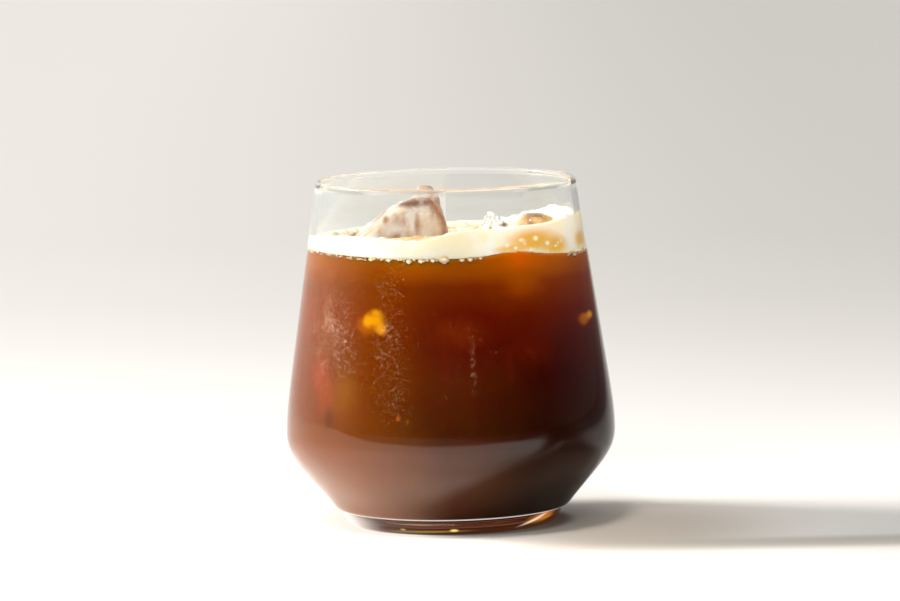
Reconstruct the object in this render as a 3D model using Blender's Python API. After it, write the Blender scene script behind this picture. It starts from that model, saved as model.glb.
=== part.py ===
"""Iced espresso in a stemless tumbler.

The tumbler is one turned piece of clear glass, widest low down, on a small thick foot. The espresso fills
it to about four fifths, a layer of pale foam lies on the espresso and climbs the wall at the right, and
three lumps of ice stand in the drink and come up through the foam.

Frame: +Z up, origin at the centre of the foot's resting plane, -Y is the side that faces the viewer.
Units are metres.
"""

import math

import bmesh
import bpy
from mathutils import Vector, noise

MM = 0.001
SEGMENTS = 60

# The tumbler
HEIGHT = 92.5 * MM
RIM_RADIUS = 34.9 * MM
BELLY_RADIUS = 44.15 * MM
BELLY_HEIGHT = 25.0 * MM
CREASE_RADIUS = 31.13 * MM
CREASE_HEIGHT = 4.65 * MM
FOOT_RADIUS = 29.3 * MM
FOOT_EDGE_HEIGHT = 4.15 * MM
RING_OUTER = 26.2 * MM
RING_INNER = 20.0 * MM
PUNT_DEPTH = 1.4 * MM
WALL_AT_RIM = 1.8 * MM
WALL_AT_BELLY = 2.1 * MM
FLOOR_HEIGHT = 4.9 * MM
FLOOR_DOME = 0.4 * MM
FLOOR_RADIUS = 24.0 * MM
CORNER_RADIUS = 28.3 * MM
CORNER_HEIGHT = 6.1 * MM
CORNER_BEND = (1.6 * MM, 0.85 * MM)

# How the outline's curves leave their ends: the length of each pull, and the lean of the wall and the cone
BELLY_UP_PULL = 7.4 * MM
RIM_DOWN_PULL = 54.0 * MM
BELLY_DOWN_PULL = 6.2 * MM
CREASE_UP_PULL = 14.3 * MM
CORNER_UP_PULL = 12.5 * MM
WALL_LEAN = 0.146
CONE_LEAN = 0.847

# The drink and its foam
FIT_GAP = 0.3 * MM
ICE_GAP = 0.39 * MM
DRINK_LEVEL = 73.9 * MM
FOAM_LEVEL = 76.7 * MM
FOAM_EDGE = 77.4 * MM
FOAM_LIP_WIDTH = 0.9 * MM
FOAM_LIP_DROP = 0.5 * MM
FOAM_CLIMB_WIDTH = 6.5 * MM
FOAM_RELIEF = 0.35 * MM
FOAM_GRAIN = 7.0 * MM
# How far inside the wall the rings of the foam's top run, closer where it curves more
FOAM_STEPS = tuple(step * MM for step in (0.35, 1.1, 2.2, 3.4, 4.8, 7.0, 12.0, 19.0, 27.0))
# Shares of the cavity's radius at which the rings of the drink's top run
SURFACE_SHARES = (0.25, 0.50, 0.70, 0.86, 1.0)
LEVEL_SWAY = 1.6 * MM
# The share of the cavity's radius inside which the drink's surface is level
LEVEL_MIDDLE = 0.55
# Where the foam climbs the wall: degrees from the front towards the right, spread in degrees, height
FOAM_CRESTS = (
    (-35.0, 35.0, 2.2 * MM),
    (-15.0, 9.0, -0.9 * MM),
    (6.0, 10.0, 1.1 * MM),
    (28.0, 20.0, 2.4 * MM),
    (88.0, 34.0, 6.0 * MM),
    (124.0, 16.0, 1.6 * MM),
)
# Where the drink swells up under the foam or sinks, in the same form
DRINK_SWELLS = (
    (-62.0, 16.0, 0.5 * MM),
    (30.0, 9.0, 1.3 * MM),
    (80.0, 22.0, -1.3 * MM),
    (150.0, 25.0, 0.7 * MM),
)

# The ice. Each level of a lump is its height, middle (x, y), half width, half depth and turn in degrees
ICE_ROUNDING = 0.5
ICE_RELIEF = 1.6 * MM
ICE_GRAIN = 7.0 * MM
TALL_ICE = (
    (50.0, -12.0, 10.5, 9.5, 9.0, 20.0),
    (62.0, -13.0, 10.5, 12.0, 10.5, 18.0),
    (75.5, -12.7, 10.5, 13.0, 9.0, 14.0),
    (84.3, -8.0, 11.5, 6.1, 5.8, 8.0),
    (86.1, -5.9, 12.3, 3.6, 3.6, 4.0),
    (89.1, -5.4, 12.5, 1.4, 1.8, 0.0),
)
PEAK_ICE = (
    (58.0, 9.5, -20.0, 6.5, 6.5, -15.0),
    (68.0, 10.5, -20.5, 7.5, 7.0, -20.0),
    (79.4, 13.2, -22.3, 5.2, 4.6, -20.0),
    (82.6, 12.4, -23.0, 3.4, 3.2, -14.0),
    (85.9, 11.3, -23.7, 0.5, 0.7, -10.0),
)
LOW_ICE = (
    (56.0, 18.5, 9.5, 8.2, 8.5, 12.0),
    (66.0, 19.5, 10.0, 8.4, 8.6, 16.0),
    (75.6, 23.3, 10.0, 6.0, 6.6, 20.0),
    (81.2, 24.9, 10.5, 3.0, 3.6, 24.0),
)

CLEAR_GLASS = ("clear_glass", (0.90, 0.93, 0.93, 1.0), 0.03)
ESPRESSO_BROWN = ("espresso_brown", (0.20, 0.06, 0.015, 1.0), 0.15)
FOAM_CREAM = ("foam_cream", (0.90, 0.78, 0.58, 1.0), 0.60)
ICE_CLEAR = ("ice_clear", (0.86, 0.88, 0.88, 1.0), 0.12)


def clear_scene():
    for obj in list(bpy.data.objects):
        bpy.data.objects.remove(obj)


def material(name, colour, roughness):
    made = bpy.data.materials.new(name)
    made.use_nodes = True
    shader = made.node_tree.nodes["Principled BSDF"]
    shader.inputs["Base Color"].default_value = colour
    shader.inputs["Roughness"].default_value = roughness
    shader.inputs["Metallic"].default_value = 0.0
    made.diffuse_color = colour
    return made


def smooth_step(value):
    value = min(1.0, max(0.0, value))
    return value * value * (3.0 - 2.0 * value)


def bezier(start, pull_start, pull_end, end, count):
    """count points along a cubic curve in (radius, height), its start among them and its end not."""
    points = []
    for i in range(count):
        t = i / count
        weights = ((1 - t) ** 3, 3 * (1 - t) ** 2 * t, 3 * (1 - t) * t * t, t**3)
        corners = (start, pull_start, pull_end, end)
        points.append(tuple(sum(w * c[k] for w, c in zip(weights, corners)) for k in (0, 1)))
    return points


def leaning(start, lean, run):
    """The point that lies run away from start, upwards, moving outwards by lean for each unit of height."""
    length = math.hypot(lean, 1.0)
    return (start[0] + run * lean / length, start[1] + run / length)


def outer_wall():
    """The tumbler's outside from the crease above the foot up to the rim."""
    crease = (CREASE_RADIUS, CREASE_HEIGHT)
    belly = (BELLY_RADIUS, BELLY_HEIGHT)
    rim = (RIM_RADIUS, HEIGHT - WALL_AT_RIM / 2)
    cone = bezier(
        crease,
        leaning(crease, CONE_LEAN, CREASE_UP_PULL),
        (BELLY_RADIUS, BELLY_HEIGHT - BELLY_DOWN_PULL),
        belly,
        8,
    )
    side = bezier(
        belly,
        (BELLY_RADIUS, BELLY_HEIGHT + BELLY_UP_PULL),
        (RIM_RADIUS + WALL_LEAN * RIM_DOWN_PULL, rim[1] - RIM_DOWN_PULL),
        rim,
        8,
    )
    return cone + side + [rim]


def inner_wall(inset, side_steps=8, cone_steps=7):
    """The cavity's side from its floor corner up to the rim, moved inwards by inset."""
    corner = (CORNER_RADIUS - inset, CORNER_HEIGHT + inset)
    belly = (BELLY_RADIUS - WALL_AT_BELLY - inset, BELLY_HEIGHT + WALL_AT_BELLY / 2)
    rim = (RIM_RADIUS - WALL_AT_RIM - inset, HEIGHT - WALL_AT_RIM / 2)
    cone = bezier(
        corner,
        leaning(corner, CONE_LEAN, CORNER_UP_PULL),
        (belly[0], belly[1] - BELLY_DOWN_PULL),
        belly,
        cone_steps,
    )
    side = bezier(
        belly,
        (belly[0], belly[1] + BELLY_UP_PULL),
        (rim[0] + WALL_LEAN * RIM_DOWN_PULL, rim[1] - RIM_DOWN_PULL),
        rim,
        side_steps,
    )
    return cone + side + [rim]


def radius_at(outline, height):
    """The outline's radius at this height."""
    for (r0, z0), (r1, z1) in zip(outline, outline[1:]):
        if z0 <= height <= z1:
            return r0 + (r1 - r0) * (height - z0) / (z1 - z0)
    return outline[-1][0]


def foot_outline():
    """The underside from the axis outwards: a shallow punt, the flat resting ring and the rounded foot."""
    punt_steps, edge_steps = 4, 4
    punt = []
    for i in range(punt_steps):
        share = i / punt_steps
        punt.append((RING_INNER * share, PUNT_DEPTH * (1.0 - share * share)))
    edge = []
    for i in range(edge_steps + 1):
        turn = math.pi / 2 * i / edge_steps
        radius = RING_OUTER + (FOOT_RADIUS - RING_OUTER) * math.sin(turn)
        edge.append((radius, FOOT_EDGE_HEIGHT * (1.0 - math.cos(turn))))
    return punt + [(RING_INNER, 0.0)] + edge


def rim_outline():
    """The rim's rounded top, from the outside over to the inside, without its two ends."""
    half, steps = WALL_AT_RIM / 2, 6
    middle = (RIM_RADIUS - half, HEIGHT - half)
    turns = [math.pi * i / steps for i in range(1, steps)]
    return [(middle[0] + half * math.cos(a), middle[1] + half * math.sin(a)) for a in turns]


def floor_outline(inset):
    """The cavity's floor from just inside its corner to the axis, raised by inset."""
    top = FLOOR_HEIGHT + inset
    bend = (CORNER_RADIUS - inset - CORNER_BEND[0], CORNER_HEIGHT + inset - CORNER_BEND[1])
    halfway = (FLOOR_RADIUS / 2, top + FLOOR_DOME / 2)
    return [bend, (FLOOR_RADIUS - inset, top), halfway, (0.0, top + FLOOR_DOME)]


def finish(mesh_data, name, look):
    """A new object of a bmesh, its faces pointing out, shaded smooth with its sharp edges kept."""
    bmesh.ops.recalc_face_normals(mesh_data, faces=mesh_data.faces)
    mesh = bpy.data.meshes.new(name)
    mesh_data.to_mesh(mesh)
    mesh_data.free()
    mesh.shade_smooth()
    mesh.set_sharp_from_angle(angle=math.radians(45))
    mesh.materials.append(look)
    obj = bpy.data.objects.new(name, mesh)
    bpy.context.scene.collection.objects.link(obj)
    return obj


def turned(name, outline, look):
    """A solid of revolution about Z. The outline starts and ends on the axis."""
    shape = bmesh.new()
    points = [shape.verts.new((radius, 0.0, height)) for radius, height in outline]
    edges = [shape.edges.new(pair) for pair in zip(points, points[1:])]
    bmesh.ops.spin(
        shape,
        geom=points + edges,
        cent=(0, 0, 0),
        axis=(0, 0, 1),
        angle=2 * math.pi,
        steps=SEGMENTS,
        use_merge=True,
    )
    bmesh.ops.remove_doubles(shape, verts=shape.verts, dist=0.001 * MM)
    return finish(shape, name, look)


def lofted(name, low_pole, rings, high_pole, look):
    """A solid through rings of points round Z, closed by a point at each end."""
    shape = bmesh.new()
    low, high = shape.verts.new(low_pole), shape.verts.new(high_pole)
    loops = [[shape.verts.new(point) for point in ring] for ring in rings]
    for i in range(SEGMENTS):
        j = (i + 1) % SEGMENTS
        shape.faces.new((low, loops[0][i], loops[0][j]))
        shape.faces.new((high, loops[-1][j], loops[-1][i]))
        for lower, upper in zip(loops, loops[1:]):
            shape.faces.new((lower[i], lower[j], upper[j], upper[i]))
    return finish(shape, name, look)


def bearings():
    """Each segment's angle in degrees from the front (-Y) towards the right (+X), and its direction."""
    for i in range(SEGMENTS):
        turn = 2 * math.pi * i / SEGMENTS
        yield math.degrees(turn), (math.sin(turn), -math.cos(turn))


def lobes(shapes, bearing):
    """The sum of bell-shaped rises, each a place, a spread and a height."""
    total = 0.0
    for place, spread, height in shapes:
        away = (bearing - place + 180.0) % 360.0 - 180.0
        total += height * math.exp(-0.5 * (away / spread) ** 2)
    return total


def waterline(bearing, share=1.0):
    """Height of the drink's surface under the foam. share is 0 at the axis and 1 at the wall."""
    near_wall = smooth_step((share - LEVEL_MIDDLE) / (1.0 - LEVEL_MIDDLE))
    return DRINK_LEVEL + lobes(DRINK_SWELLS, bearing) * near_wall


def foam_top(bearing, from_wall, place):
    """Height of the foam's top this far from the wall: a ridge on the wall that falls to an uneven middle."""
    crest = FOAM_EDGE + lobes(FOAM_CRESTS, bearing) - FOAM_LEVEL
    ridge = crest * (1.0 - smooth_step((from_wall - FOAM_LIP_WIDTH) / FOAM_CLIMB_WIDTH))
    grain = noise.noise(Vector((*place, 0.0)) / FOAM_GRAIN)
    return FOAM_LEVEL + ridge + FOAM_RELIEF * grain


def ring_of(radius, height):
    return [(radius * x, radius * y, height) for _, (x, y) in bearings()]


def top_ring(wall, share, height_of):
    """A ring on a surface whose height changes with the bearing, at this share of the cavity's radius."""
    ring = []
    for bearing, (x, y) in bearings():
        height = height_of(bearing, share)
        radius = share * radius_at(wall, height)
        ring.append((radius * x, radius * y, height))
    return ring


def make_glass():
    outline = foot_outline() + outer_wall() + rim_outline()
    outline += inner_wall(0.0)[::-1] + floor_outline(0.0)
    return turned("glass", outline, material(*CLEAR_GLASS))


def make_espresso():
    wall = inner_wall(FIT_GAP)
    floor = floor_outline(FIT_GAP)[::-1]
    lowest = DRINK_LEVEL - LEVEL_SWAY
    rings = [ring_of(radius, height) for radius, height in floor[1:]]
    rings += [ring_of(radius, height) for radius, height in wall if height < lowest]
    rings += [top_ring(wall, share, waterline) for share in SURFACE_SHARES[::-1]]
    low_pole = (0.0, 0.0, floor[0][1])
    return lofted("espresso", low_pole, rings, (0.0, 0.0, DRINK_LEVEL), material(*ESPRESSO_BROWN))


def make_foam():
    wall = inner_wall(FIT_GAP)

    def underside(bearing, share):
        return waterline(bearing, share) + FIT_GAP

    rings = [top_ring(wall, share, underside) for share in SURFACE_SHARES]
    middle, edge, inner = [], [], []
    for bearing, (x, y) in bearings():
        base = underside(bearing, 1.0)
        brink = foam_top(bearing, 0.0, (RIM_RADIUS * x, RIM_RADIUS * y)) - FOAM_LIP_DROP
        for ring, height in ((middle, (base + brink) / 2), (edge, brink)):
            radius = radius_at(wall, height)
            ring.append((radius * x, radius * y, height))
    for step in FOAM_STEPS:
        ring = []
        for (ex, ey, ez), (bearing, (x, y)) in zip(edge, bearings()):
            radius = math.hypot(ex, ey) - step
            place = (radius * x, radius * y)
            ring.append((*place, foam_top(bearing, step, place)))
        inner.append(ring)
    rings += [middle, edge, *inner]
    low_pole = (0.0, 0.0, DRINK_LEVEL + FIT_GAP)
    return lofted("foam", low_pole, rings, (0.0, 0.0, FOAM_LEVEL), material(*FOAM_CREAM))


def level_corners(height, x, y, half_width, half_depth, turn):
    """The four corners of one level of a lump, anticlockwise from above."""
    cos, sin = math.cos(math.radians(turn)), math.sin(math.radians(turn))
    for across, away in ((-1, -1), (1, -1), (1, 1), (-1, 1)):
        a, b = across * half_width, away * half_depth
        yield ((x + a * cos - b * sin) * MM, (y + a * sin + b * cos) * MM, height * MM)


def melt(lump, swell):
    """Rounds a lump's edges, wears its faces unevenly and then moves its whole surface out by swell."""
    soften = lump.modifiers.new("soften", "SUBSURF")
    soften.levels = 2
    soften.render_levels = 2
    wear = lump.modifiers.new("wear", "DISPLACE")
    wear.texture = bpy.data.textures.get("melting") or bpy.data.textures.new("melting", "CLOUDS")
    wear.texture.noise_scale = ICE_GRAIN
    wear.texture_coords = "LOCAL"
    wear.strength = ICE_RELIEF
    if swell:
        grow = lump.modifiers.new("grow", "DISPLACE")
        grow.mid_level = 0.0
        grow.strength = swell


def make_ice(name, levels, look):
    """A melted lump of ice through four-cornered levels."""
    shape = bmesh.new()
    loops = [[shape.verts.new(corner) for corner in level_corners(*level)] for level in levels]
    shape.faces.new(loops[0][::-1])
    shape.faces.new(loops[-1])
    for lower, upper in zip(loops, loops[1:]):
        for i in range(4):
            j = (i + 1) % 4
            shape.faces.new((lower[i], lower[j], upper[j], upper[i]))
    crease = shape.edges.layers.float.new("crease_edge")
    for edge in shape.edges:
        edge[crease] = ICE_ROUNDING
    lump = finish(shape, name, look)
    melt(lump, 0.0)
    return lump


def make_room(lump, *around):
    """Cuts the lump's shape, a little larger, out of the pieces that it stands in."""
    cutter = bpy.data.objects.new(lump.name + "_cutter", lump.data)
    bpy.context.scene.collection.objects.link(cutter)
    melt(cutter, ICE_GAP)
    cutter.hide_render = True
    cutter.display_type = "WIRE"
    for obj in around:
        cut = obj.modifiers.new("room_for_" + lump.name, "BOOLEAN")
        cut.operation = "DIFFERENCE"
        cut.solver = "EXACT"
        cut.object = cutter


def main():
    clear_scene()
    make_glass()
    espresso = make_espresso()
    foam = make_foam()
    ice = material(*ICE_CLEAR)
    for name, levels in (("ice_tall", TALL_ICE), ("ice_peak", PEAK_ICE), ("ice_low", LOW_ICE)):
        make_room(make_ice(name, levels, ice), espresso, foam)


main()
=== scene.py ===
# %% [markdown]
# # Iced espresso in a stemless tumbler
#
# The object is a clear glass tumbler, widest low down, that holds dark espresso, a pale layer of foam and
# three lumps of ice. Most of what makes it look real happens where light goes through something: the
# glass bends the view of the drink, the drink glows amber where it is thin, and the foam and the ice let
# light in before they send it back. So each part below is first a shape that fits its neighbours closely,
# and then a material.

# %% Load the fixed frame
import math

import bmesh
import bpy
import numpy as np
from mathutils import Matrix, Vector, noise
from mathutils.bvhtree import BVHTree
from mathutils.kdtree import KDTree


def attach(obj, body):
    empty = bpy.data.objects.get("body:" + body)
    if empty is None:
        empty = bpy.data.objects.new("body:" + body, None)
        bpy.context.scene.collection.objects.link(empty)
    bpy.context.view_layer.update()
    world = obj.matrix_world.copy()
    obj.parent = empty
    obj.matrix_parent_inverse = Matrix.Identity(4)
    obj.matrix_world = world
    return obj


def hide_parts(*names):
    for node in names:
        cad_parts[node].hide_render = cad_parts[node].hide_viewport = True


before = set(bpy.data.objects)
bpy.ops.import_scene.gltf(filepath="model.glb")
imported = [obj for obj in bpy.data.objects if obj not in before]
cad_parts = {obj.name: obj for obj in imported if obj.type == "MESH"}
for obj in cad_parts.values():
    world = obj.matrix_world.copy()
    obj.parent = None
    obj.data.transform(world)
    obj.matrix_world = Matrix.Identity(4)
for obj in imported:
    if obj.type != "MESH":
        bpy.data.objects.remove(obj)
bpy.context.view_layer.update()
MM = 0.001
BODY = "root"
print("nodes:", ", ".join(sorted(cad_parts)))

# %% [markdown]
# ## Helpers
#
# A shader or a geometry tree is a graph, and written out node by node it is long. One helper adds a node,
# sets it and wires it, so each tree below reads like a short list of steps. Inputs are given by name, or by
# number where a node has several of one name.

# %% Node helpers
def put(tree, kind, inputs=None, **settings):
    """Adds a node, applies its settings, and fills inputs with values or with other nodes' outputs."""
    made = tree.nodes.new(kind)
    for name, value in settings.items():
        setattr(made, name, value)
    for name, value in (inputs or {}).items():
        if isinstance(value, bpy.types.NodeSocket):
            tree.links.new(value, made.inputs[name])
        else:
            made.inputs[name].default_value = value
    return made


def maths(tree, operation, *values):
    return put(tree, "ShaderNodeMath", dict(enumerate(values)), operation=operation).outputs[0]


def vectors(tree, operation, *values):
    made = put(tree, "ShaderNodeVectorMath", dict(enumerate(values)), operation=operation)
    return made.outputs["Value" if operation in ("LENGTH", "DOT_PRODUCT") else "Vector"]


def parts_of(tree, vector):
    """A vector's X, Y and Z."""
    return put(tree, "ShaderNodeSeparateXYZ", {"Vector": vector}).outputs


def axis_distance(tree, across):
    """How far a place, given as its X, Y and Z, is from the tumbler's axis."""
    flat = put(tree, "ShaderNodeCombineXYZ", {"X": across["X"], "Y": across["Y"]}).outputs["Vector"]
    return vectors(tree, "LENGTH", flat)


def smooth_range(tree, value, low, high, to_low=0.0, to_high=1.0):
    """value mapped from low..high to to_low..to_high with soft ends."""
    inputs = {"Value": value, "From Min": low, "From Max": high, "To Min": to_low, "To Max": to_high}
    return put(tree, "ShaderNodeMapRange", inputs, interpolation_type="SMOOTHSTEP").outputs["Result"]


def blend_values(tree, share, first, second):
    return put(tree, "ShaderNodeMix", {0: share, 2: first, 3: second}, data_type="FLOAT").outputs[0]


def blend_colours(tree, share, first, second):
    """A blend of two colours, each an output or three numbers."""
    first, second = ((*colour, 1.0) if isinstance(colour, tuple) else colour for colour in (first, second))
    return put(tree, "ShaderNodeMix", {0: share, 6: first, 7: second}, data_type="RGBA").outputs[2]


def colour_ramp(tree, share, stops):
    """A ramp through stops, each a share and a colour of three numbers."""
    ramp = put(tree, "ShaderNodeValToRGB", {"Fac": share})
    points = ramp.color_ramp.elements
    while len(points) < len(stops):
        points.new(0.5)
    for point, (at, colour) in zip(points, stops):
        point.position = at
        point.color = (*colour, 1.0)
    return ramp.outputs["Color"]


def new_tree(name, kind, inputs, outputs):
    """A node group with the sockets listed as (name, type, default), and its input and output nodes."""
    tree = bpy.data.node_groups.new(name, kind)
    for side, sockets in (("INPUT", inputs), ("OUTPUT", outputs)):
        for label, socket_type, *default in sockets:
            made = tree.interface.new_socket(label, in_out=side, socket_type="NodeSocket" + socket_type)
            if default:
                made.default_value = default[0]
    return tree, tree.nodes.new("NodeGroupInput").outputs, tree.nodes.new("NodeGroupOutput").inputs


def new_material(name, **values):
    """A material, its tree, its Principled shader with plain values set, and Object coordinates."""
    made = bpy.data.materials.new(name)
    made.use_nodes = True
    tree = made.node_tree
    shader = tree.nodes["Principled BSDF"]
    for label, value in values.items():
        shader.inputs[label.replace("_", " ")].default_value = value
    place = put(tree, "ShaderNodeTexCoord").outputs["Object"]
    return made, tree, shader, place


# %% [markdown]
# ## Three effects that several materials share
#
# Nothing here is one flat colour. *Mottle* is soft noise between two limits, used for smears, clouds and
# streaks. *Spot* is a soft-edged blot at a place on the piece, with a wobbly outline, used for sunken ice
# and for dark and bright places on the lumps. *Mark* is a patch on a turned surface, given by its bearing
# round the axis and its height, used for tan places and painted glints in the foam and for the painted
# lines and glows of light that the rim and the foot gather.

# %% Shared shader groups
def make_mottle():
    tree, given, out = new_tree(
        "mottle",
        "ShaderNodeTree",
        (
            ("Vector", "Vector"),
            ("Scale", "Float", 100.0),
            ("Detail", "Float", 3.0),
            ("Low", "Float", 0.4),
            ("High", "Float", 0.6),
        ),
        (("Mask", "Float"),),
    )
    wanted = {"Vector": given["Vector"], "Scale": given["Scale"], "Detail": given["Detail"]}
    noise = put(tree, "ShaderNodeTexNoise", wanted).outputs["Fac"]
    tree.links.new(smooth_range(tree, noise, given["Low"], given["High"]), out["Mask"])
    return tree


def make_spot():
    tree, given, out = new_tree(
        "spot",
        "ShaderNodeTree",
        (
            ("Vector", "Vector"),
            ("Centre", "Vector"),
            ("Radii", "Vector", (0.01, 0.01, 0.01)),
            ("Softness", "Float", 0.6),
            ("Wobble", "Float", 0.4),
        ),
        (("Mask", "Float"),),
    )
    away = vectors(tree, "SUBTRACT", given["Vector"], given["Centre"])
    away = vectors(tree, "DIVIDE", away, given["Radii"])
    noise = put(tree, "ShaderNodeTexNoise", {"Vector": given["Vector"], "Scale": 260.0, "Detail": 2.0})
    waver = maths(tree, "MULTIPLY", maths(tree, "SUBTRACT", noise.outputs["Fac"], 0.5), given["Wobble"])
    reach = maths(tree, "ADD", vectors(tree, "LENGTH", away), waver)
    start = maths(tree, "SUBTRACT", 1.0, given["Softness"])
    tree.links.new(smooth_range(tree, reach, 1.0, start), out["Mask"])
    return tree


def make_mark():
    tree, given, out = new_tree(
        "mark",
        "ShaderNodeTree",
        (
            ("Vector", "Vector"),
            ("Bearing", "Float", 0.0),
            ("Half width", "Float", 10.0),
            ("Height", "Float", 0.0),
            ("Half height", "Float", 0.001),
            ("Rise", "Float", 0.0),
        ),
        (("Mask", "Float"),),
    )
    at = parts_of(tree, given["Vector"])
    bearing = maths(tree, "DEGREES", maths(tree, "ARCTAN2", at["X"], maths(tree, "MULTIPLY", at["Y"], -1.0)))
    turned = maths(tree, "SUBTRACT", bearing, given["Bearing"])
    level = maths(tree, "MULTIPLY_ADD", turned, given["Rise"], given["Height"])
    above = maths(tree, "DIVIDE", maths(tree, "SUBTRACT", at["Z"], level), given["Half height"])
    aside = maths(tree, "DIVIDE", turned, given["Half width"])
    away = put(tree, "ShaderNodeCombineXYZ", {"X": aside, "Y": above}).outputs["Vector"]
    tree.links.new(smooth_range(tree, vectors(tree, "LENGTH", away), 1.0, 0.2), out["Mask"])
    return tree


MOTTLE, SPOT, MARK = make_mottle(), make_spot(), make_mark()
print("shared groups:", MOTTLE.name, SPOT.name, MARK.name)


def add_group(tree, group, **inputs):
    """Places a shared group in a material and returns its mask."""
    made = put(tree, "ShaderNodeGroup", None, node_tree=group)
    for name, value in inputs.items():
        socket = made.inputs[name.replace("_", " ")]
        if isinstance(value, bpy.types.NodeSocket):
            tree.links.new(value, socket)
        else:
            socket.default_value = value
    return made.outputs["Mask"]


def marked(tree, place, bearing, wide, at, tall, rise=0.0):
    """The mask of a mark, from a bearing and half a width in degrees, and lengths in millimetres."""
    sizes = {"Height": at * MM, "Half_height": tall * MM, "Rise": rise * MM}
    return add_group(tree, MARK, Vector=place, Bearing=bearing, Half_width=wide, **sizes)


# %% [markdown]
# ## The tumbler's form
#
# A pressed or blown tumbler is a solid of revolution, and its outline says everything. The frame already
# holds it, as points along one half section, so the outline is read from there. A glass seen this close
# must not show facets, because each one would bend the light its own way. So the outline is taken as a
# smooth curve, and a small lathe in Geometry Nodes turns it in many steps. Such a curve swings out where a
# long span meets a short one, so long spans are first divided near their short neighbours.

# %% Read the tumbler's outline
MERGED_WITHIN = 0.002 * MM


def merged_copy(node):
    """A bmesh of a node's mesh with its loose triangles joined."""
    shape = bmesh.new()
    shape.from_mesh(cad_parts[node].data)
    bmesh.ops.remove_doubles(shape, verts=shape.verts, dist=MERGED_WITHIN)
    return shape


def half_section(node):
    """The node's outline in its +X half plane, from the lowest point on the axis to the highest."""
    shape = merged_copy(node)
    near = 0.003 * MM
    on_section = {v for v in shape.verts if abs(v.co.y) < near and v.co.x > -near}
    current = min((v for v in on_section if v.co.x < near), key=lambda v: v.co.z)
    outline, used = [], set()
    while current is not None:
        outline.append((max(0.0, current.co.x), current.co.z))
        used.add(current)
        onward = [e.other_vert(current) for e in current.link_edges]
        current = next((v for v in onward if v in on_section and v not in used), None)
    shape.free()
    return outline


GLASS_OUTLINE = half_section("glass")
RIM_INDEX = max(range(len(GLASS_OUTLINE)), key=lambda i: GLASS_OUTLINE[i][1])
HEIGHT = GLASS_OUTLINE[RIM_INDEX][1]
INNER = sorted(GLASS_OUTLINE[RIM_INDEX:], key=lambda point: point[1])
OUTER = sorted(GLASS_OUTLINE[:RIM_INDEX], key=lambda point: point[1])
print(f"outline of {len(GLASS_OUTLINE)} points, {HEIGHT / MM:.1f} mm tall")


INNER_HEIGHTS, INNER_RADII = (np.array([point[axis] for point in INNER]) for axis in (1, 0))
OUTER_HEIGHTS, OUTER_RADII = (np.array([point[axis] for point in OUTER]) for axis in (1, 0))


def inner_radius(height):
    return np.interp(height, INNER_HEIGHTS, INNER_RADII)


def outer_radius(height):
    return np.interp(height, OUTER_HEIGHTS, OUTER_RADII)


# %% Build the lathe
def make_lathe():
    """A geometry tree that turns a line of edges in the XZ plane about Z."""
    tree, given, out = new_tree(
        "lathe",
        "GeometryNodeTree",
        (
            ("Outline", "Geometry"),
            ("Steps round", "Int", 64),
            ("Steps per span", "Int", 4),
            ("Resting height", "Float", 0.0),
            ("Material", "Material"),
        ),
        (("Geometry", "Geometry"),),
    )
    line = put(tree, "GeometryNodeMeshToCurve", {"Mesh": given["Outline"]}).outputs["Curve"]
    wanted = {"Curve": line}
    line = put(tree, "GeometryNodeCurveSplineType", wanted, spline_type="CATMULL_ROM").outputs["Curve"]
    wanted = {"Geometry": line, "Resolution": given["Steps per span"]}
    line = put(tree, "GeometryNodeSetSplineResolution", wanted).outputs["Geometry"]
    line = put(tree, "GeometryNodeCurveToPoints", {"Curve": line}, mode="EVALUATED").outputs["Points"]
    size = put(tree, "GeometryNodeAttributeDomainSize", {"Geometry": line}, component="POINTCLOUD")
    rows = size.outputs["Point Count"]
    columns = maths(tree, "ADD", given["Steps round"], 1.0)
    grid = put(tree, "GeometryNodeMeshGrid", {"Vertices X": columns, "Vertices Y": rows}).outputs["Mesh"]
    index = put(tree, "GeometryNodeInputIndex").outputs["Index"]
    row = maths(tree, "MODULO", index, rows)
    column = maths(tree, "FLOOR", maths(tree, "DIVIDE", maths(tree, "ADD", index, 0.5), rows))
    turn = maths(tree, "DIVIDE", maths(tree, "MULTIPLY", column, math.tau), given["Steps round"])
    position = put(tree, "GeometryNodeInputPosition").outputs["Position"]
    wanted = {"Geometry": line, "Value": position, "Index": row}
    sample = put(tree, "GeometryNodeSampleIndex", wanted, data_type="FLOAT_VECTOR").outputs["Value"]
    point = parts_of(tree, sample)
    radius = maths(tree, "MAXIMUM", point["X"], 0.0)
    parts = {
        "X": maths(tree, "MULTIPLY", radius, maths(tree, "COSINE", turn)),
        "Y": maths(tree, "MULTIPLY", radius, maths(tree, "SINE", turn)),
        "Z": maths(tree, "MAXIMUM", point["Z"], given["Resting height"]),
    }
    wanted = {"Geometry": grid, "Position": put(tree, "ShaderNodeCombineXYZ", parts).outputs["Vector"]}
    turned = put(tree, "GeometryNodeSetPosition", wanted).outputs["Geometry"]
    wanted = {"Geometry": turned, "Distance": MERGED_WITHIN}
    turned = put(tree, "GeometryNodeMergeByDistance", wanted).outputs["Geometry"]
    turned = put(tree, "GeometryNodeRealizeInstances", {"Geometry": turned}).outputs["Geometry"]
    wanted = {"Geometry": turned, "Material": given["Material"]}
    tree.links.new(put(tree, "GeometryNodeSetMaterial", wanted).outputs["Geometry"], out["Geometry"])
    return tree


LATHE = make_lathe()
print(f"lathe: {len(LATHE.nodes)} nodes")


# %% Turn a tree's result into a plain mesh
def link_mesh(mesh, name):
    made = bpy.data.objects.new(name, mesh)
    bpy.context.scene.collection.objects.link(made)
    return made


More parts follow.
